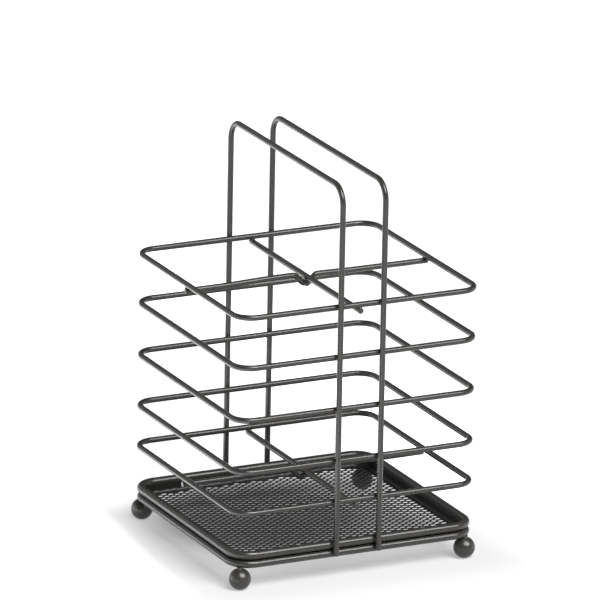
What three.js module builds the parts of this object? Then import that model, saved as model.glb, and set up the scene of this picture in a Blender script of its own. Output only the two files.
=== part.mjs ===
// Wire utensil holder: five rounded rectangular rings, two inverted-U arch
// handles, two crossed pairs of divider wires, an expanded-metal tray with a
// rim bead and a base wire, and four ball feet. Everything is welded steel wire
// with a dark powder coat. Millimetres, +Z up, front is -Y, left is -X, and
// z = 0 is the surface that the feet stand on.
import * as THREE from "three";

// ---- driving dimensions ----
const GAP = 0.3; // clearance that stands for each weld

// wall rings, measured on the wire's centre line
const RING_WIDTH = 116; // along x
const RING_DEPTH = 108.6; // along y
const RING_CORNER = 8.4; // corner radius
const RING_WIRE = 2.6; // wire diameter
const RING_HEIGHTS = {
  top_ring: 124.74,
  upper_ring: 101.86,
  middle_ring: 77.86,
  lower_ring: 54.12,
  bottom_ring: 35.25,
};

// arch handles, legs outside the front and back faces of the rings
const ARCH_WIRE = 2.6;
const ARCH_X = { left_arch_handle: -11.0, right_arch_handle: 9.6 };
const ARCH_TOP = 179.45; // centre line of the top run
const ARCH_BEND = 8.5; // bend radius on the centre line
const LEG_SHORT = 1.2; // the legs end this far above the base wire's underside
const ARCH_Y = RING_DEPTH / 2 + RING_WIRE / 2 + GAP + ARCH_WIRE / 2;

// divider wires, welded under the top ring and under the bottom ring
const DIVIDER_WIRE = 2.6;
const DIVIDER_DROP = (RING_WIRE + DIVIDER_WIRE) / 2 + GAP; // below the ring
const LENGTHWISE_X = -0.8; // the front-to-back wire's place
const JOGGLE_X = -0.9; // middle of the dip in the side-to-side wire
const JOGGLE_DEPTH = 4.1;
const JOGGLE_HALF = 6.0; // half width of the dip at its mouth

// tray: rim bead, mesh pan and base wire
const RIM_WIRE = 3.8;
const RIM_Z = 15.7;
const RIM_CORNER = 9.2;
const BASE_WIRE = 3.4;
const BASE_Z = 11.65;
const BASE_CORNER = 9.5;
const OUTER_X = RING_WIDTH / 2 + RING_WIRE / 2; // outer face of the rings
const OUTER_Y = RING_DEPTH / 2 + RING_WIRE / 2;
const PAN_FLOOR = 11.2; // upper surface of the tray floor
const PAN_SHEET = 0.8; // thickness of the plain sheet that stands for mesh
const PAN_TOP = 15.7; // upper edge of the upturned wall
const PAN_FILLET = 1.4; // bevel between floor and wall

// ball feet, under the corners of the base wire
const FOOT_RADIUS = 4.85;
const FOOT_FLAT = 1.2; // radius of the flat that the foot stands on
const FOOT_X = 54.8;
const FOOT_Y = 51.2;

const SIDES = 10; // facets round a wire
const BEND_STEPS = 6; // segments in a quarter bend

// ---- finish ----
const COAT = { color: 0x2b2a28, roughness: 0.42, metalness: 0.25 };
const coat = () => new THREE.MeshStandardMaterial(COAT);

// ---- helpers ----

// A path through given points with given directions, walked point by point, so
// that straight runs take one step and bends take several.
class WirePath extends THREE.Curve {
  constructor(stations) {
    super();
    this.stations = stations;
  }
  get steps() {
    return this.stations.length - 1;
  }
  at(t) {
    const i = Math.round(t * this.steps);
    return this.stations[Math.min(Math.max(i, 0), this.steps)];
  }
  getPoint(t, target = new THREE.Vector3()) {
    return target.copy(this.at(t).point);
  }
  getPointAt(u, target) {
    return this.getPoint(u, target);
  }
  getTangent(t, target = new THREE.Vector3()) {
    return target.copy(this.at(t).direction);
  }
  getTangentAt(u, target) {
    return this.getTangent(u, target);
  }
}

const station = (x, y, z, dx, dy, dz) => ({
  point: new THREE.Vector3(x, y, z),
  direction: new THREE.Vector3(dx, dy, dz).normalize(),
});

// Round wire section with a corner of the polygon on the x axis.
function wireSection(diameter) {
  const shape = new THREE.Shape();
  for (let i = 0; i < SIDES; i++) {
    const a = (2 * Math.PI * i) / SIDES;
    const x = (diameter / 2) * Math.cos(a);
    const y = (diameter / 2) * Math.sin(a);
    if (i === 0) shape.moveTo(x, y);
    else shape.lineTo(x, y);
  }
  shape.closePath();
  return shape;
}

// The section swept along the stations, with square ends.
function openWire(stations, diameter) {
  const path = new WirePath(stations);
  return new THREE.ExtrudeGeometry(wireSection(diameter), {
    steps: path.steps,
    extrudePath: path,
  });
}

// The section swept round a closed loop: the end caps lie on each other and
// are dropped, which leaves one closed tube.
function closedWire(stations, diameter) {
  const swept = openWire([...stations, stations[0]], diameter);
  const sides = swept.groups.find((g) => g.materialIndex === 1);
  const position = swept
    .getAttribute("position")
    .array.slice(sides.start * 3, (sides.start + sides.count) * 3);
  const loop = new THREE.BufferGeometry();
  loop.setAttribute("position", new THREE.BufferAttribute(position, 3));
  loop.computeVertexNormals();
  return loop;
}

// Stations round a rounded rectangle at one height, seen from above, turning
// left, starting on the front run.
function ringStations(halfX, halfY, radius, z) {
  const list = [];
  const corners = [
    [halfX - radius, -halfY + radius, -90],
    [halfX - radius, halfY - radius, 0],
    [-halfX + radius, halfY - radius, 90],
    [-halfX + radius, -halfY + radius, 180],
  ];
  for (const [cx, cy, from] of corners)
    for (let i = 0; i <= BEND_STEPS; i++) {
      const a = THREE.MathUtils.degToRad(from + (90 * i) / BEND_STEPS);
      const c = Math.cos(a);
      const s = Math.sin(a);
      list.push(station(cx + radius * c, cy + radius * s, z, -s, c, 0));
    }
  return list;
}

const part = new THREE.Group();

function addPiece(name, geometry, parent = part) {
  const mesh = new THREE.Mesh(geometry, coat());
  mesh.name = name;
  parent.add(mesh);
  return mesh;
}

// ---- wall rings ----
const walls = new THREE.Group();
part.add(walls);
for (const [name, z] of Object.entries(RING_HEIGHTS)) {
  const ring = addPiece(
    name,
    closedWire(
      ringStations(RING_WIDTH / 2, RING_DEPTH / 2, RING_CORNER, 0),
      RING_WIRE,
    ),
    walls,
  );
  ring.position.z = z;
}

// ---- arch handles: up the front, over the top, down the back ----
function archStations() {
  const bottom = BASE_Z - BASE_WIRE / 2 + LEG_SHORT;
  const z = ARCH_TOP - ARCH_BEND;
  const y = ARCH_Y - ARCH_BEND;
  const list = [station(0, -ARCH_Y, bottom, 0, 0, 1)];
  for (let i = 0; i <= BEND_STEPS; i++) {
    const a = (Math.PI / 2) * (i / BEND_STEPS);
    const c = Math.cos(a);
    const s = Math.sin(a);
    list.push(station(0, -y - ARCH_BEND * c, z + ARCH_BEND * s, 0, s, c));
  }
  for (let i = 0; i <= BEND_STEPS; i++) {
    const a = (Math.PI / 2) * (i / BEND_STEPS);
    const c = Math.cos(a);
    const s = Math.sin(a);
    list.push(station(0, y + ARCH_BEND * s, z + ARCH_BEND * c, 0, c, -s));
  }
  list.push(station(0, ARCH_Y, bottom, 0, 0, -1));
  return list;
}
const handles = new THREE.Group();
part.add(handles);
for (const [name, x] of Object.entries(ARCH_X)) {
  const arch = addPiece(name, openWire(archStations(), ARCH_WIRE), handles);
  arch.position.x = x;
}

// ---- divider wires ----
function crossStations() {
  const slope = (x) => {
    const u = (x - JOGGLE_X) / JOGGLE_HALF;
    return Math.abs(u) >= 1
      ? 0
      : ((JOGGLE_DEPTH * Math.PI) / (2 * JOGGLE_HALF)) * Math.sin(Math.PI * u);
  };
  const height = (x) => {
    const u = (x - JOGGLE_X) / JOGGLE_HALF;
    return Math.abs(u) >= 1 ? 0 : -JOGGLE_DEPTH * Math.cos((Math.PI / 2) * u) ** 2;
  };
  const list = [station(-OUTER_X, 0, 0, 1, 0, 0)];
  const n = 12;
  for (let i = 0; i <= n; i++) {
    const x = JOGGLE_X - JOGGLE_HALF + (2 * JOGGLE_HALF * i) / n;
    list.push(station(x, 0, height(x), 1, 0, slope(x)));
  }
  list.push(station(OUTER_X, 0, 0, 1, 0, 0));
  return list;
}
const lengthwiseStations = [
  station(LENGTHWISE_X, -OUTER_Y, 0, 0, 1, 0),
  station(LENGTHWISE_X, OUTER_Y, 0, 0, 1, 0),
];
for (const [level, ring] of [
  ["top", "top_ring"],
  ["bottom", "bottom_ring"],
]) {
  const pair = new THREE.Group();
  pair.position.z = RING_HEIGHTS[ring] - DIVIDER_DROP;
  part.add(pair);
  addPiece(
    level + "_lengthwise_divider",
    openWire(lengthwiseStations, DIVIDER_WIRE),
    pair,
  );
  addPiece(level + "_cross_divider", openWire(crossStations(), DIVIDER_WIRE), pair);
}

// ---- tray ----
const tray = new THREE.Group();
part.add(tray);
const rim = addPiece(
  "tray_rim",
  closedWire(
    ringStations(
      OUTER_X - RIM_WIRE / 2,
      OUTER_Y - RIM_WIRE / 2,
      RIM_CORNER,
      0,
    ),
    RIM_WIRE,
  ),
  tray,
);
rim.position.z = RIM_Z;
const base = addPiece(
  "base_wire",
  closedWire(
    ringStations(
      OUTER_X - BASE_WIRE / 2,
      OUTER_Y - BASE_WIRE / 2,
      BASE_CORNER,
      0,
    ),
    BASE_WIRE,
  ),
  tray,
);
base.position.z = BASE_Z;

// The pan: a shallow rounded tray of thin sheet, open at the top, its floor
// bevelled up into a low wall that stands inside the rim and the base wire.
function panGeometry() {
  const outerX = OUTER_X - RIM_WIRE - GAP;
  const outerY = OUTER_Y - RIM_WIRE - GAP;
  const corner = RIM_CORNER - RIM_WIRE / 2 - GAP;
  const t = PAN_SHEET;
  // rows of the section from the middle of the underside, round the edge and
  // back to the middle of the floor: [inset from the outer face, height]
  const rows = [
    [PAN_FILLET + 0.4 * t, PAN_FLOOR - t],
    [0, PAN_FLOOR - t + PAN_FILLET + 0.4 * t],
    [0, PAN_TOP],
    [t, PAN_TOP],
    [t, PAN_FLOOR + PAN_FILLET],
    [t + PAN_FILLET, PAN_FLOOR],
  ];
  const loops = rows.map(([inset, z]) =>
    ringStations(
      outerX - inset,
      outerY - inset,
      Math.max(corner - inset, 2),
      z,
    ).map((s) => s.point),
  );
  const n = loops[0].length;
  const position = [];
  const face = (a, b, c) => position.push(...a, ...b, ...c);
  for (let r = 0; r + 1 < loops.length; r++)
    for (let i = 0; i < n; i++) {
      const j = (i + 1) % n;
      face(loops[r][i], loops[r][j], loops[r + 1][j]);
      face(loops[r][i], loops[r + 1][j], loops[r + 1][i]);
    }
  const under = new THREE.Vector3(0, 0, rows[0][1]);
  const over = new THREE.Vector3(0, 0, rows[rows.length - 1][1]);
  for (let i = 0; i < n; i++) {
    const j = (i + 1) % n;
    face(under, loops[0][j], loops[0][i]);
    face(over, loops[rows.length - 1][i], loops[rows.length - 1][j]);
  }
  const pan = new THREE.BufferGeometry();
  pan.setAttribute(
    "position",
    new THREE.Float32BufferAttribute(
      position,
      3,
    ),
  );
  pan.computeVertexNormals();
  return pan;
}
addPiece("tray_mesh", panGeometry(), tray);

// ---- ball feet ----
// Profile from the middle of the flat, out to its edge, round the ball and back
// to the axis.
function footGeometry() {
  const start = Math.asin(FOOT_FLAT / FOOT_RADIUS);
  const rise = FOOT_RADIUS * Math.cos(start);
  const profile = [new THREE.Vector2(0, 0)];
  const n = 12;
  for (let i = 0; i <= n; i++) {
    const a = start + ((Math.PI - start) * i) / n;
    profile.push(
      new THREE.Vector2(
        i === n ? 0 : FOOT_RADIUS * Math.sin(a),
        rise - FOOT_RADIUS * Math.cos(a),
      ),
    );
  }
  const foot = new THREE.LatheGeometry(profile, 16);
  foot.rotateX(Math.PI / 2);
  return foot;
}
const feet = new THREE.Group();
part.add(feet);
for (const [name, sx, sy] of [
  ["foot_front_left", -1, -1],
  ["foot_front_right", 1, -1],
  ["foot_back_left", -1, 1],
  ["foot_back_right", 1, 1],
]) {
  const foot = addPiece(name, footGeometry(), feet);
  foot.position.set(sx * FOOT_X, sy * FOOT_Y, 0);
}

export default part;
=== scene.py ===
"""Looks of a welded wire utensil holder: round coated wires with weld fillets,
an expanded-metal tray, ball feet, a pale studio floor and soft light."""

import math

import bmesh
import bpy
import numpy as np
from mathutils import Matrix, Vector


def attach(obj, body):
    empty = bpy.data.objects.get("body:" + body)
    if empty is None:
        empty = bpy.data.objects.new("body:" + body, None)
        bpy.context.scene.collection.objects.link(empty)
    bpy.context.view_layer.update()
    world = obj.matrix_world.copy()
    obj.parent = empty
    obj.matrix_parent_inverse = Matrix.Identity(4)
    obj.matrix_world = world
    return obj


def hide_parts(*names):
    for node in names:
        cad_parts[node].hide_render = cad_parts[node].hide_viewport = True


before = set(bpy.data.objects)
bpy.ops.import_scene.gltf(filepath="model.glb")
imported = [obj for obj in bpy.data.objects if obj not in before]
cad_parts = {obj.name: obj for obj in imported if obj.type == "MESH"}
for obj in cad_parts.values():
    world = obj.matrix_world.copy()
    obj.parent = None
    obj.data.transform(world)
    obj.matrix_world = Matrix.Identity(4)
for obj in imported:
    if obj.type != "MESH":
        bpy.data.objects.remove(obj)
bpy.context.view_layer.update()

MM = 0.001

# ---------------------------------------------------------------- dimensions
RING_X = 58.0  # half width on the wire's centre line
RING_Y = 54.3
RING_CORNER = 8.4
RING_R = 1.3
RINGS = {
    "top_ring": 124.74,
    "upper_ring": 101.86,
    "middle_ring": 77.86,
    "lower_ring": 54.12,
    "bottom_ring": 35.25,
}
ARCH_R = 1.3
ARCHES = {"left_arch_handle": -11.0, "right_arch_handle": 9.6}
ARCH_TOP = 179.45
ARCH_BEND = 8.5
ARCH_Y = RING_Y + RING_R + ARCH_R - 0.12  # pressed a little into the rings
LENGTHWISE_X = -0.8
JOGGLE_X = -0.9
JOGGLE_DEPTH = 4.1
JOGGLE_HALF = 6.0
OUTER_X = RING_X + RING_R
OUTER_Y = RING_Y + RING_R
RIM_R = 1.9
RIM_Z = 15.7
RIM_CORNER = 9.2
BASE_R = 1.7
BASE_Z = 11.65
BASE_CORNER = 9.5
FOOT_R = 4.85
FOOT_FLAT = 1.2
FOOT_X = 54.8
FOOT_Y = 51.2

# expanded metal
CELL_A = np.array((2.76, 0.385))  # from a cell's middle to its end, the long way
CELL_B = np.array((-0.02, 1.54))  # and the short way
HOLE_LONG = 0.88  # the hole's share of the cell, the long way
HOLE_SHORT = 0.61  # and the short way
HOLE_FLAT = 0.13  # half width of the hole's blunt sides, as a share
SHEET = 0.45  # thickness of the strands
TWIST = -0.02  # how far a strand's two edges stand above and below the middle
PAN_Z = 10.75  # middle of the floor's sheet
PAN_X = 54.3  # half size of the flat floor
PAN_Y = 50.6
PAN_CORNER = 6.2
PAN_BEND = 1.5
PRESSED = -0.6  # how far out of the flat floor the press has begun to shut the holes
DENT = 0.4  # and the depth of what is left of them
DENT_LOW = 0.5  # how far towards the floor each dent's deepest point sits, as a share
PAN_REACH = 6.0  # from the edge of the flat floor to the top of the wall
TRIM = 0.12  # how much of the sheet above that is left, pressed down under the rim

SIDES = 32


# -------------------------------------------------------------- mesh helpers
class Shells:
    """Closed shells, gathered in millimetres and made into one mesh."""

    def __init__(self):
        self.points = []
        self.faces = []

    def add(self, points, faces):
        start = len(self.points)
        self.points.extend([tuple(float(c) for c in p) for p in points])
        self.faces.extend([tuple(i + start for i in f) for f in faces])
        return self


def unit(v):
    v = np.asarray(v, float)
    return v / np.linalg.norm(v)


def sweep(shells, points, directions, side, radius, closed=False, bevel=0.35):
    """A round wire along points, with its section turned on the side axis."""
    points = [np.asarray(p, float) for p in points]
    directions = [unit(d) for d in directions]
    radii = [radius] * len(points)
    if not closed:
        head, tail = [], []
        steps = 4
        for i in range(steps):
            a = (math.pi / 2) * i / steps
            inset = bevel * (1 - math.sin(a))
            along = bevel * (1 - math.cos(a))
            head.append((points[0] + directions[0] * along, directions[0], radius - inset))
            tail.append((points[-1] - directions[-1] * along, directions[-1], radius - inset))
        first = (points[0] + directions[0] * bevel, directions[0], radius)
        last = (points[-1] - directions[-1] * bevel, directions[-1], radius)
        run = head + [first]
        run += [(p, d, radius) for p, d in zip(points[1:-1], directions[1:-1])]
        run += [last] + tail[::-1]
        points = [r[0] for r in run]
        directions = [r[1] for r in run]
        radii = [r[2] for r in run]
    side = unit(side)
    verts = []
    for p, d, r in zip(points, directions, radii):
        n = unit(np.cross(side, d))
        b = unit(np.cross(d, n))
        for k in range(SIDES):
            a = 2 * math.pi * k / SIDES
            verts.append(p + r * (math.cos(a) * n + math.sin(a) * b))
    rows = len(points)
    faces = []
    for i in range(rows if closed else rows - 1):
        j = (i + 1) % rows
        for k in range(SIDES):
            m = (k + 1) % SIDES
            faces.append((i * SIDES + k, i * SIDES + m, j * SIDES + m, j * SIDES + k))
    if not closed:
        faces.append(tuple(range(SIDES))[::-1])
        faces.append(tuple((rows - 1) * SIDES + k for k in range(SIDES)))
    shells.add(verts, faces)


def bead(shells, centre, half, turn=0.0, rows=10, cols=20):
    """A weld bead: a squashed ball that fills the corner between two wires."""
    c, s = math.cos(turn), math.sin(turn)
    verts, faces = [], []
    for i in range(rows + 1):
        a = math.pi * i / rows
        for k in range(cols):
            b = 2 * math.pi * k / cols
            x = half[0] * math.sin(a) * math.cos(b)
            y = half[1] * math.sin(a) * math.sin(b)
            z = half[2] * math.cos(a)
            if i in (0, rows):
                if k == 0:
                    verts.append((centre[0], centre[1], centre[2] + z))
                continue
            verts.append((centre[0] + c * x - s * y, centre[1] + s * x + c * y, centre[2] + z))
    last = len(verts) - 1
    for k in range(cols):
        m = (k + 1) % cols
        faces.append((0, 1 + k, 1 + m))
        faces.append((last, last - cols + m, last - cols + k))
        for i in range(rows - 2):
            a = 1 + i * cols
            faces.append((a + k, a + cols + k, a + cols + m, a + m))
    shells.add(verts, faces)


def to_mesh(name, points, faces):
    mesh = bpy.data.meshes.new(name)
    mesh.from_pydata([(p[0] * MM, p[1] * MM, p[2] * MM) for p in points], [], faces)
    bm = bmesh.new()
    bm.from_mesh(mesh)
    bmesh.ops.recalc_face_normals(bm, faces=bm.faces)
    for f in bm.faces:
        f.smooth = True
    bm.to_mesh(mesh)
    bm.free()
    mesh.update()
    return mesh


def piece(name, node, shells, material):
    obj = bpy.data.objects.new(name, to_mesh(name, shells.points, shells.faces))
    bpy.context.scene.collection.objects.link(obj)
    obj.data.materials.append(material)
    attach(obj, "root")
    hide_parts(node)
    return obj


def loop_stations(half_x, half_y, radius, z, steps=20, runs=6):
    """Points and directions round a rounded rectangle, turning left from the front."""
    corners = [
        (half_x - radius, -half_y + radius, -90),
        (half_x - radius, half_y - radius, 0),
        (-half_x + radius, half_y - radius, 90),
        (-half_x + radius, -half_y + radius, 180),
    ]
    points, directions = [], []
    for n, (cx, cy, start) in enumerate(corners):
        for i in range(steps + 1):
            a = math.radians(start + 90 * i / steps)
            points.append((cx + radius * math.cos(a), cy + radius * math.sin(a), z))
            directions.append((-math.sin(a), math.cos(a), 0))
        nx, ny, nstart = corners[(n + 1) % 4]
        a = math.radians(nstart)
        here = np.array(points[-1])
        there = np.array((nx + radius * math.cos(a), ny + radius * math.sin(a), z))
        for i in range(1, runs):
            points.append(tuple(here + (there - here) * i / runs))
            directions.append(directions[-1])
    return points, directions


# ------------------------------------------------------------------ materials
def coat(name, colour, roughness, grain, orange_peel, fleck):
    """Satin powder coat: fine orange peel, faint cloudiness and uneven gloss."""
    m = bpy.data.materials.new(name)
    m.use_nodes = True
    nodes, links = m.node_tree.nodes, m.node_tree.links
    nodes.clear()
    out = nodes.new("ShaderNodeOutputMaterial")
    bsdf = nodes.new("ShaderNodeBsdfPrincipled")
    links.new(bsdf.outputs["BSDF"], out.inputs["Surface"])
    bsdf.inputs["Metallic"].default_value = 0.0
    bsdf.inputs["Specular IOR Level"].default_value = 0.5
    place = nodes.new("ShaderNodeTexCoord")

    cloud = nodes.new("ShaderNodeTexNoise")
    cloud.inputs["Scale"].default_value = 90.0
    cloud.inputs["Detail"].default_value = 4.0
    links.new(place.outputs["Object"], cloud.inputs["Vector"])
    speck = nodes.new("ShaderNodeTexNoise")
    speck.inputs["Scale"].default_value = grain
    speck.inputs["Detail"].default_value = 3.0
    links.new(place.outputs["Object"], speck.inputs["Vector"])

    both = nodes.new("ShaderNodeMath")
    both.operation = "MULTIPLY_ADD"
    both.inputs[1].default_value = fleck
    links.new(speck.outputs["Fac"], both.inputs[0])
    links.new(cloud.outputs["Fac"], both.inputs[2])
    ramp = nodes.new("ShaderNodeValToRGB")
    ramp.color_ramp.elements[0].position = 0.35
    ramp.color_ramp.elements[1].position = 0.35 + 0.4 + 0.6 * fleck
    ramp.color_ramp.elements[0].color = (*[c * 0.82 for c in colour], 1)
    ramp.color_ramp.elements[1].color = (*[c * 1.2 for c in colour], 1)
    links.new(both.outputs["Value"], ramp.inputs["Fac"])
    links.new(ramp.outputs["Color"], bsdf.inputs["Base Color"])

    gloss = nodes.new("ShaderNodeMapRange")
    gloss.inputs["From Min"].default_value = 0.3
    gloss.inputs["From Max"].default_value = 0.7
    gloss.inputs["To Min"].default_value = roughness - 0.04
    gloss.inputs["To Max"].default_value = roughness + 0.05
    links.new(cloud.outputs["Fac"], gloss.inputs["Value"])
    links.new(gloss.outputs["Result"], bsdf.inputs["Roughness"])

    peel = nodes.new("ShaderNodeTexNoise")
    peel.inputs["Scale"].default_value = grain * 0.8
    peel.inputs["Detail"].default_value = 2.0
    peel.inputs["Roughness"].default_value = 0.45
    links.new(place.outputs["Object"], peel.inputs["Vector"])
    bump = nodes.new("ShaderNodeBump")
    bump.inputs["Strength"].default_value = orange_peel
    bump.inputs["Distance"].default_value = 0.00008
    links.new(peel.outputs["Fac"], bump.inputs["Height"])
    links.new(bump.outputs["Normal"], bsdf.inputs["Normal"])
    return m


CHARCOAL = (0.026, 0.0245, 0.0225)
ROUGHNESS = 0.25
wire_coat = coat("wire_coat", CHARCOAL, ROUGHNESS, 1300.0, 0.35, 0.35)
tray_coat = coat("tray_coat", CHARCOAL, ROUGHNESS, 1300.0, 0.35, 0.35)
# The mesh's coat is the wires' charcoal paint made darker with painted shade, and its specular level is
# lowered so its highlights are dimmed as painted shade too.
MESH_COLOUR_AND_SHADE = (0.011, 0.0103, 0.0096)
MESH_ROUGHNESS = 0.38
MESH_SPECULAR = 0.3
mesh_coat = coat("mesh_coat", MESH_COLOUR_AND_SHADE, MESH_ROUGHNESS, 1500.0, 0.3, 0.35)
mesh_coat.node_tree.nodes["Principled BSDF"].inputs["Specular IOR Level"].default_value = MESH_SPECULAR
foot_coat = coat("foot_coat", CHARCOAL, ROUGHNESS + 0.07, 1300.0, 0.3, 0.35)

# ----------------------------------------------------------------- wall rings
for name, z in RINGS.items():
    shells = Shells()
    points, directions = loop_stations(RING_X, RING_Y, RING_CORNER, z)
    sweep(shells, points, directions, (0, 0, 1), RING_R, closed=True)
    piece(name + "_wire", name, shells, wire_coat)


# -------------------------------------------------------------- arch handles
def arch_stations(x):
    bottom = BASE_Z - BASE_R + 1.2
    zc = ARCH_TOP - ARCH_BEND
    yc = ARCH_Y - ARCH_BEND
    points, directions = [(x, -ARCH_Y, bottom)], [(0, 0, 1)]
    levels = 14
    for i in range(1, levels):
        points.append((x, -ARCH_Y, bottom + (zc - bottom) * i / levels))
        directions.append((0, 0, 1))
    steps = 20
    for i in range(steps + 1):
        a = (math.pi / 2) * i / steps
        points.append((x, -yc - ARCH_BEND * math.cos(a), zc + ARCH_BEND * math.sin(a)))
        directions.append((0, math.sin(a), math.cos(a)))
    for i in range(1, 8):
        points.append((x, -yc + 2 * yc * i / 8, ARCH_TOP))
        directions.append((0, 1, 0))
    for i in range(steps + 1):
        a = (math.pi / 2) * i / steps
        points.append((x, yc + ARCH_BEND * math.sin(a), zc + ARCH_BEND * math.cos(a)))
        directions.append((0, math.cos(a), -math.sin(a)))
    for i in range(levels - 1, -1, -1):
        points.append((x, ARCH_Y, bottom + (zc - bottom) * i / levels))
        directions.append((0, 0, -1))
    return points, directions


for name, x in ARCHES.items():
    shells = Shells()
    points, directions = arch_stations(x)
    sweep(shells, points, directions, (1, 0, 0), ARCH_R)
    for s in (-1, 1):
        for n, z in enumerate(RINGS.values()):
            grow = 1 + 0.08 * math.sin(3.1 * n + 1.7 * s + x)
            bead(shells, (x, s * (RING_Y + RING_R - 0.05), z), (1.22 * grow, 0.5, 1.18 * grow))
        bead(shells, (x, s * (OUTER_Y - 0.1), RIM_Z), (1.3, 0.5, 1.35))
        bead(shells, (x, s * (OUTER_Y - 0.1), BASE_Z + 0.1), (1.3, 0.5, 1.2))
    piece(name + "_wire", name, shells, wire_coat)


# ------------------------------------------------------------- divider wires
def joggle(x):
    u = (x - JOGGLE_X) / JOGGLE_HALF
    if abs(u) >= 1:
        return 0.0, 0.0
    return (
        -JOGGLE_DEPTH * math.cos(math.pi / 2 * u) ** 2,
        JOGGLE_DEPTH * math.pi / (2 * JOGGLE_HALF) * math.sin(math.pi * u),
    )


def ease(t):
    t = min(max(t, 0.0), 1.0)
    return t * t * (3 - 2 * t)


def bow(x, left, right):
    """Small lift of the cross wire's two arms next to the dip."""
    if x < JOGGLE_X:
        return left * ease((x + 45) / 33)
    return right * ease((19 - x) / 12)


for level, ring, left, right in (
    ("top", "top_ring", 0.75, 0.25),
    ("bottom", "bottom_ring", 0.3, 0.2),
):
    z = RINGS[ring] - 2 * RING_R + 0.06
    shells = Shells()
    count = 12
    ends = (-(OUTER_Y + 0.35), OUTER_Y)
    points = [(LENGTHWISE_X, ends[0] + (ends[1] - ends[0]) * i / count, z) for i in range(count + 1)]
    sweep(shells, points, [(0, 1, 0)] * len(points), (1, 0, 0), RING_R)
    for s in (-1, 1):
        bead(shells, (LENGTHWISE_X, s * RING_Y, z + RING_R - 0.03), (1.2, 1.2, 0.5))
    name = level + "_lengthwise_divider"
    piece(name + "_wire", name, shells, wire_coat)

    shells = Shells()
    xs = list(np.linspace(-OUTER_X + 0.1, JOGGLE_X - JOGGLE_HALF, 15))
    xs += list(np.linspace(JOGGLE_X - JOGGLE_HALF, JOGGLE_X + JOGGLE_HALF, 33))[1:-1]
    xs += list(np.linspace(JOGGLE_X + JOGGLE_HALF, OUTER_X - 0.1, 15))
    def height(x):
        return joggle(x)[0] + bow(x, left, right)
    points = [(x, 0, z + height(x)) for x in xs]
    directions = [(1, 0, (height(x + 0.02) - height(x - 0.02)) / 0.04) for x in xs]
    directions[0] = directions[-1] = (1, 0, 0)
    sweep(shells, points, directions, (0, 1, 0), RING_R)
    for s in (-1, 1):
        bead(shells, (s * RING_X, 0, z + RING_R - 0.03), (1.2, 1.2, 0.5))
    name = level + "_cross_divider"
    piece(name + "_wire", name, shells, wire_coat)

# ------------------------------------------------------------------ tray wires
shells = Shells()
points, directions = loop_stations(OUTER_X - RIM_R, OUTER_Y - RIM_R, RIM_CORNER, RIM_Z)
sweep(shells, points, directions, (0, 0, 1), RIM_R, closed=True)
piece("tray_rim_bead", "tray_rim", shells, tray_coat)
shells = Shells()
points, directions = loop_stations(OUTER_X - BASE_R, OUTER_Y - BASE_R, BASE_CORNER, BASE_Z)
sweep(shells, points, directions, (0, 0, 1), BASE_R, closed=True)
piece("base_wire_round", "base_wire", shells, tray_coat)


# --------------------------------------------------------- expanded-metal tray
def pan_distance(x, y):
    """Distance outside the flat floor's rounded outline, and the way out."""
    qx = abs(x) - (PAN_X - PAN_CORNER)
    qy = abs(y) - (PAN_Y - PAN_CORNER)
    if qx > 0 and qy > 0:
        r = math.hypot(qx, qy)
        nx, ny = qx / r, qy / r
        d = r - PAN_CORNER
    elif qx - PAN_CORNER > qy - PAN_CORNER:
        nx, ny, d = 1.0, 0.0, qx - PAN_CORNER
    else:
        nx, ny, d = 0.0, 1.0, qy - PAN_CORNER
    return d, math.copysign(nx, x), math.copysign(ny, y)


def pan_point(p):
    """Bends a point of the flat sheet, with its height above it, up into the wall."""
    x, y, h = p
    d, nx, ny = pan_distance(x, y)
    if d <= 0:
        return (x, y, PAN_Z + h)
    run = min(d, PAN_REACH) + TRIM * max(d - PAN_REACH, 0.0)
    quarter = math.pi / 2 * PAN_BEND
    if run < quarter:
        a = run / PAN_BEND
        out, up = PAN_BEND * math.sin(a), PAN_BEND * (1 - math.cos(a))
    else:
        a = math.pi / 2
        out, up = PAN_BEND, PAN_BEND + run - quarter
    out -= h * math.sin(a)
    up += h * math.cos(a)
    return (x + nx * (out - d), y + ny * (out - d), PAN_Z + up)


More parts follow.
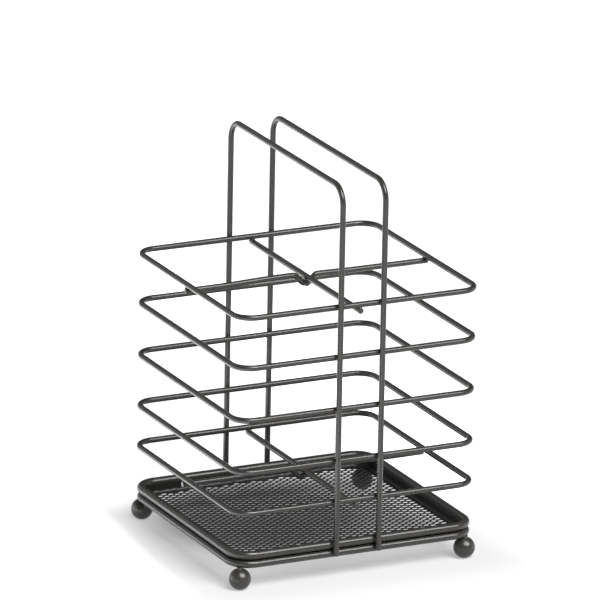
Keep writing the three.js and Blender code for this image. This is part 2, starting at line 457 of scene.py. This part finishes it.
def flat_sheet():
    """The flat expanded metal: one rhombus for each cell, with a hole or, near the edge, a dent."""
    outer = [(1, 0), (0, 1), (-1, 0), (0, -1)]  # corners, in steps of CELL_A and CELL_B
    inner = [
        (HOLE_LONG, 0, 0.0),
        (HOLE_FLAT, HOLE_SHORT, -TWIST),
        (-HOLE_FLAT, HOLE_SHORT, -TWIST),
        (-HOLE_LONG, 0, 0.0),
        (-HOLE_FLAT, -HOLE_SHORT, TWIST),
        (HOLE_FLAT, -HOLE_SHORT, TWIST),
    ]
    verts, faces, shared = [], [], {}

    def corner(a, b, side):
        key = (a, b, side)
        if key not in shared:
            shared[key] = len(verts)
            px, py = a * CELL_A + b * CELL_B
            verts.append((px, py, side * SHEET / 2))
        return shared[key]

    edges = {}
    for j in range(-60, 61):
        for i in range(-60, 61):
            x, y = i * (CELL_A + CELL_B) + j * (CELL_A - CELL_B)
            beyond, nx, ny = pan_distance(x, y)
            if beyond > PAN_REACH + 1.0:
                continue
            rows = {}
            for side in (1, -1):
                o = [corner(i + j + a, i - j + b, side) for a, b in outer]
                n = []
                rows[side] = (o, n)
                if beyond > PRESSED:
                    continue
                for u, v, pz in inner:
                    px, py = u * CELL_A + v * CELL_B
                    n.append(len(verts))
                    verts.append((x + px, y + py, pz + side * SHEET / 2))
                f = [
                    (o[0], o[1], n[1], n[0]),
                    (o[1], n[2], n[1]),
                    (o[1], o[2], n[3], n[2]),
                    (o[2], o[3], n[4], n[3]),
                    (o[3], n[5], n[4]),
                    (o[3], o[0], n[0], n[5]),
                ]
                faces.extend(f if side > 0 else [q[::-1] for q in f])
            (ot, nt), (ob, nb) = rows[1], rows[-1]
            if beyond > PRESSED:
                dent = len(verts)
                low = DENT_LOW / (abs(nx) / CELL_A[0] + abs(ny) / CELL_B[1])
                verts.append((x - nx * low, y - ny * low, SHEET / 2 - DENT))
                faces.extend((ot[k], ot[(k + 1) % 4], dent) for k in range(4))
                faces.append(tuple(ob[::-1]))
            else:
                for k in range(6):
                    m = (k + 1) % 6
                    faces.append((nt[k], nt[m], nb[m], nb[k]))
            for k in range(4):
                m = (k + 1) % 4
                key = frozenset((ot[k], ot[m]))
                edges.setdefault(key, []).append((ot[k], ot[m], ob[m], ob[k]))
    for walls in edges.values():
        if len(walls) == 1:
            faces.append(walls[0][::-1])
    return verts, faces


verts, faces = flat_sheet()
flat = bpy.data.meshes.new("flat_sheet")
flat.from_pydata(verts, [], faces)
holder = bpy.data.objects.new("flat_sheet", flat)
bpy.context.scene.collection.objects.link(holder)
smooth = holder.modifiers.new("smooth", "SUBSURF")
smooth.levels = smooth.render_levels = 1
evaluated = holder.evaluated_get(bpy.context.evaluated_depsgraph_get())
fine = bpy.data.meshes.new_from_object(evaluated)
shells = Shells()
shells.add(
    [pan_point(v.co) for v in fine.vertices],
    [tuple(p.vertices) for p in fine.polygons],
)
bpy.data.objects.remove(holder)
piece("tray_expanded_metal", "tray_mesh", shells, mesh_coat)


# ------------------------------------------------------------------- ball feet
def foot(shells, x, y, rows=36, cols=48):
    start = math.asin(FOOT_FLAT / FOOT_R)
    rise = FOOT_R * math.cos(start)
    neck = 1.35
    profile = [(FOOT_FLAT * 0.5, 0.0), (FOOT_FLAT - 0.12, 0.0)]
    stop = math.pi - math.asin((neck + 0.35) / FOOT_R)
    for i in range(rows + 1):
        a = start + (stop - start) * i / rows
        if i == 0:
            profile.append((FOOT_FLAT + 0.05, 0.03))
            continue
        profile.append((FOOT_R * math.sin(a), rise - FOOT_R * math.cos(a)))
    r0, z0 = profile[-1]
    for r, z in ((neck + 0.12, z0 + 0.1), (neck, z0 + 0.28), (neck + 0.02, z0 + 0.55), (neck + 0.2, z0 + 1.0)):
        profile.append((r, z))
    verts = [(x, y, 0.0)]
    faces = []
    for r, z in profile:
        for k in range(cols):
            a = 2 * math.pi * k / cols
            verts.append((x + r * math.cos(a), y + r * math.sin(a), z))
    top = len(verts)
    verts.append((x, y, profile[-1][1]))
    for k in range(cols):
        m = (k + 1) % cols
        faces.append((0, 1 + m, 1 + k))
        for i in range(len(profile) - 1):
            a = 1 + i * cols
            faces.append((a + k, a + m, a + cols + m, a + cols + k))
        a = 1 + (len(profile) - 1) * cols
        faces.append((top, a + k, a + m))
    shells.add(verts, faces)


for name, sx, sy in (
    ("foot_front_left", -1, -1),
    ("foot_front_right", 1, -1),
    ("foot_back_left", -1, 1),
    ("foot_back_right", 1, 1),
):
    shells = Shells()
    foot(shells, sx * FOOT_X, sy * FOOT_Y)
    piece(name + "_ball", name, shells, foot_coat)

# ----------------------------------------------------------------- the studio
FLOOR_COLOUR = (0.34, 0.34, 0.34)
# The floor glows though it is no lamp: painted light that fills the shadows, with less of it close round the
# object, which paints a soft shadow there.
FLOOR_GLOW = 0.42  # near the object
FAR_GLOW = 0.16  # more, this far outside the object's outline
FAR_REACH = 0.04
BACK_GLOW = 0.16  # more behind the object, painted light that whitens the shadow there
BACK_START = 0.0
BACK_END = 0.07
LEFT_GLOW = 0.25  # more at the far left
LEFT_LEAN = 0.08  # turns the edge of that glow
LEFT_START = 0.07
LEFT_END = 0.16
HOT_GLOW = 3.8  # a painted pool of light at the left, between these distances, for the rim and the left wires to reflect
HOT_START = 0.068
HOT_FULL = 0.115
HOT_FADE = 0.125
HOT_END = 0.175
RIGHT_GLOW = 0.9  # a painted strip of light at the right, between these distances, for the front right foot and the rim's corner to reflect
RIGHT_START = 0.075
RIGHT_FULL = 0.105
RIGHT_FADE = 0.11
RIGHT_END = 0.15
SHADE_X = 0.054  # half size of the dim patch under the middle of the tray, a painted shadow
SHADE_Y = 0.054
SHADE_MIDDLE = 0.034
SHADE_LEFT = 0.006  # how far to the left it sits
SHADE_LOW = 0.2  # what is left of the glow there
SKY = 0.06
BACKDROP = 0.45  # soft pale glow of a backdrop, low at the back left
BACKDROP_AZ = -152.0
BACKDROP_EL = 15.0
KEY_STRENGTH = 3.8
KEY_EL = 54.0
KEY_AZ = 8.0
KEY_ANGLE = 36.0
SIDE_STRENGTH = 1.6
SIDE_EL = 42.0
SIDE_AZ = 31.0
SIDE_ANGLE = 28.0
FILL_POWER = 5.0
FILL_AZ = -108.0
FILL_EL = 8.0
FILL_SIZE = (1.5, 0.6)
RIGHT_POWER = 1.5
RIGHT_AZ = 80.0
RIGHT_EL = 8.0
RIGHT_SIZE = (1.0, 0.5)

bm = bmesh.new()
bmesh.ops.create_grid(bm, x_segments=8, y_segments=8, size=9.0)
floor_mesh = bpy.data.meshes.new("studio_floor")
bm.to_mesh(floor_mesh)
bm.free()
floor = bpy.data.objects.new("studio_floor", floor_mesh)
bpy.context.scene.collection.objects.link(floor)
pale = bpy.data.materials.new("pale_floor")
pale.use_nodes = True
pale_bsdf = pale.node_tree.nodes["Principled BSDF"]
pale_bsdf.inputs["Roughness"].default_value = 0.9
pale_bsdf.inputs["Specular IOR Level"].default_value = 0.1
pale_bsdf.inputs["Base Color"].default_value = (*FLOOR_COLOUR, 1)
pale_bsdf.inputs["Emission Color"].default_value = (1, 1, 1, 1)
tree = pale.node_tree


def floor_math(operation, *values):
    node = tree.nodes.new("ShaderNodeMath")
    node.operation = operation
    for i, value in enumerate(values):
        if isinstance(value, (int, float)):
            node.inputs[i].default_value = value
        else:
            tree.links.new(value, node.inputs[i])
    return node.outputs["Value"]


def floor_ramp(value, start, end, low, high):
    node = tree.nodes.new("ShaderNodeMapRange")
    node.interpolation_type = "SMOOTHSTEP"
    for socket, number in (("From Min", start), ("From Max", end), ("To Min", low), ("To Max", high)):
        node.inputs[socket].default_value = number
    tree.links.new(value, node.inputs["Value"])
    return node.outputs["Result"]


spot = tree.nodes.new("ShaderNodeTexCoord")
split = tree.nodes.new("ShaderNodeSeparateXYZ")
tree.links.new(spot.outputs["Object"], split.inputs["Vector"])
across = floor_math("DIVIDE", floor_math("ADD", split.outputs["X"], SHADE_LEFT), SHADE_X)
along = floor_math("DIVIDE", floor_math("SUBTRACT", split.outputs["Y"], SHADE_MIDDLE), SHADE_Y)
away = floor_math(
    "SQRT",
    floor_math("ADD", floor_math("MULTIPLY", across, across), floor_math("MULTIPLY", along, along)),
)
# painted shadow: the floor's glow dims under the middle of the tray
dim = floor_ramp(away, 0.6, 1.15, SHADE_LOW, 1.0)
beyond = []
for axis, half in (("X", OUTER_X * MM), ("Y", OUTER_Y * MM)):
    excess = floor_math("SUBTRACT", floor_math("ABSOLUTE", split.outputs[axis]), half)
    beyond.append(floor_math("POWER", floor_math("MAXIMUM", excess, 0.0), 2.0))
outside = floor_math("SQRT", floor_math("ADD", *beyond))
leftward = floor_math(
    "ADD",
    floor_math("MULTIPLY", split.outputs["X"], -1.0),
    floor_math("MULTIPLY", split.outputs["Y"], LEFT_LEAN),
)
glow = floor_ramp(outside, 0.0, FAR_REACH, FLOOR_GLOW, FLOOR_GLOW + FAR_GLOW)
glow = floor_math("ADD", glow, floor_ramp(split.outputs["Y"], BACK_START, BACK_END, 0.0, BACK_GLOW))
glow = floor_math("ADD", glow, floor_ramp(leftward, LEFT_START, LEFT_END, 0.0, LEFT_GLOW))
# painted pool of light on the floor at the left
hot = floor_math(
    "MULTIPLY",
    floor_ramp(leftward, HOT_START, HOT_FULL, 0.0, HOT_GLOW),
    floor_ramp(leftward, HOT_FADE, HOT_END, 1.0, 0.0),
)
glow = floor_math("ADD", glow, hot)
# painted strip of light on the floor at the right
strip = floor_math(
    "MULTIPLY",
    floor_ramp(split.outputs["X"], RIGHT_START, RIGHT_FULL, 0.0, RIGHT_GLOW),
    floor_ramp(split.outputs["X"], RIGHT_FADE, RIGHT_END, 1.0, 0.0),
)
glow = floor_math("ADD", glow, strip)
# the floor's glow is painted light, dimmed in the painted shadow under the tray
tree.links.new(floor_math("MULTIPLY", glow, dim), pale_bsdf.inputs["Emission Strength"])
floor.data.materials.append(pale)

world = bpy.data.worlds.new("studio")
bpy.context.scene.world = world
world.use_nodes = True
background = world.node_tree.nodes["Background"]
background.inputs["Color"].default_value = (1, 1, 1, 1)
sky_way = world.node_tree.nodes.new("ShaderNodeTexCoord")
facing = world.node_tree.nodes.new("ShaderNodeVectorMath")
facing.operation = "DOT_PRODUCT"
world.node_tree.links.new(sky_way.outputs["Generated"], facing.inputs[0])
toward_a, toward_e = math.radians(BACKDROP_AZ), math.radians(BACKDROP_EL)
facing.inputs[1].default_value = (
    math.sin(toward_a) * math.cos(toward_e),
    -math.cos(toward_a) * math.cos(toward_e),
    math.sin(toward_e),
)
spread = world.node_tree.nodes.new("ShaderNodeMapRange")
spread.interpolation_type = "SMOOTHSTEP"
spread.inputs["From Min"].default_value = 0.70
spread.inputs["From Max"].default_value = 0.98
spread.inputs["To Min"].default_value = SKY
spread.inputs["To Max"].default_value = SKY + BACKDROP
world.node_tree.links.new(facing.outputs["Value"], spread.inputs["Value"])
world.node_tree.links.new(spread.outputs["Result"], background.inputs["Strength"])


def area_light(name, azimuth, elevation, distance, size, power, aim=(0, 0, 0.07), colour=(1, 1, 1)):
    a, e = math.radians(azimuth), math.radians(elevation)
    toward = Vector((math.sin(a) * math.cos(e), -math.cos(a) * math.cos(e), math.sin(e)))
    data = bpy.data.lights.new(name, "AREA")
    data.shape = "RECTANGLE"
    data.size, data.size_y = size
    data.energy = power
    data.color = colour
    lamp = bpy.data.objects.new(name, data)
    lamp.location = Vector(aim) + toward * distance
    lamp.rotation_euler = toward.to_track_quat("Z", "Y").to_euler()
    bpy.context.scene.collection.objects.link(lamp)
    return lamp


def far_light(name, azimuth, elevation, angle, strength):
    a, e = math.radians(azimuth), math.radians(elevation)
    toward = Vector((math.sin(a) * math.cos(e), -math.cos(a) * math.cos(e), math.sin(e)))
    data = bpy.data.lights.new(name, "SUN")
    data.energy = strength
    data.angle = math.radians(angle)
    lamp = bpy.data.objects.new(name, data)
    lamp.rotation_euler = toward.to_track_quat("Z", "Y").to_euler()
    bpy.context.scene.collection.objects.link(lamp)
    return lamp


far_light("key", KEY_AZ, KEY_EL, KEY_ANGLE, KEY_STRENGTH)
far_light("key_side", SIDE_AZ, SIDE_EL, SIDE_ANGLE, SIDE_STRENGTH)
area_light("fill_left", FILL_AZ, FILL_EL, 1.5, FILL_SIZE, FILL_POWER)
area_light("fill_right", RIGHT_AZ, RIGHT_EL, 1.5, RIGHT_SIZE, RIGHT_POWER)

# ------------------------------------------------------------------ the camera
UNIT = 1.16 * MM  # the camera was fitted in hundredths of the rings' width
AZIMUTH, ELEVATION, ROLL = -0.4541191, 0.3068421, 0.0190456
DISTANCE = 3398.0895
SCALE = 2.6262253  # pixels per unit at the middle ring's centre
AIM = (304.65555, 370.59977)  # where that centre falls in the 600 x 600 frame
MIDDLE = 299.5

back = np.array(
    (
        math.sin(AZIMUTH) * math.cos(ELEVATION),
        -math.cos(AZIMUTH) * math.cos(ELEVATION),
        math.sin(ELEVATION),
    )
)
level = np.array((math.cos(AZIMUTH), math.sin(AZIMUTH), 0.0))
rise = np.cross(back, level)
right = math.cos(ROLL) * level + math.sin(ROLL) * rise
up = -math.sin(ROLL) * level + math.cos(ROLL) * rise
place = DISTANCE * back - (AIM[0] - MIDDLE) / SCALE * right + (AIM[1] - MIDDLE) / SCALE * up
place = place * UNIT + np.array((0, 0, RINGS["middle_ring"] * MM))
camera_data = bpy.data.cameras.new("camera")
camera_data.sensor_width = 36.0
camera_data.lens = SCALE * DISTANCE * 36.0 / 600.0
camera_data.clip_end = 100.0
camera = bpy.data.objects.new("camera", camera_data)
axes = Matrix((right, up, back)).transposed().to_4x4()
camera.matrix_world = Matrix.Translation(Vector(place)) @ axes
bpy.context.scene.collection.objects.link(camera)
bpy.context.scene.camera = camera

bpy.context.scene.view_settings.view_transform = "Standard"
bpy.context.view_layer.update()
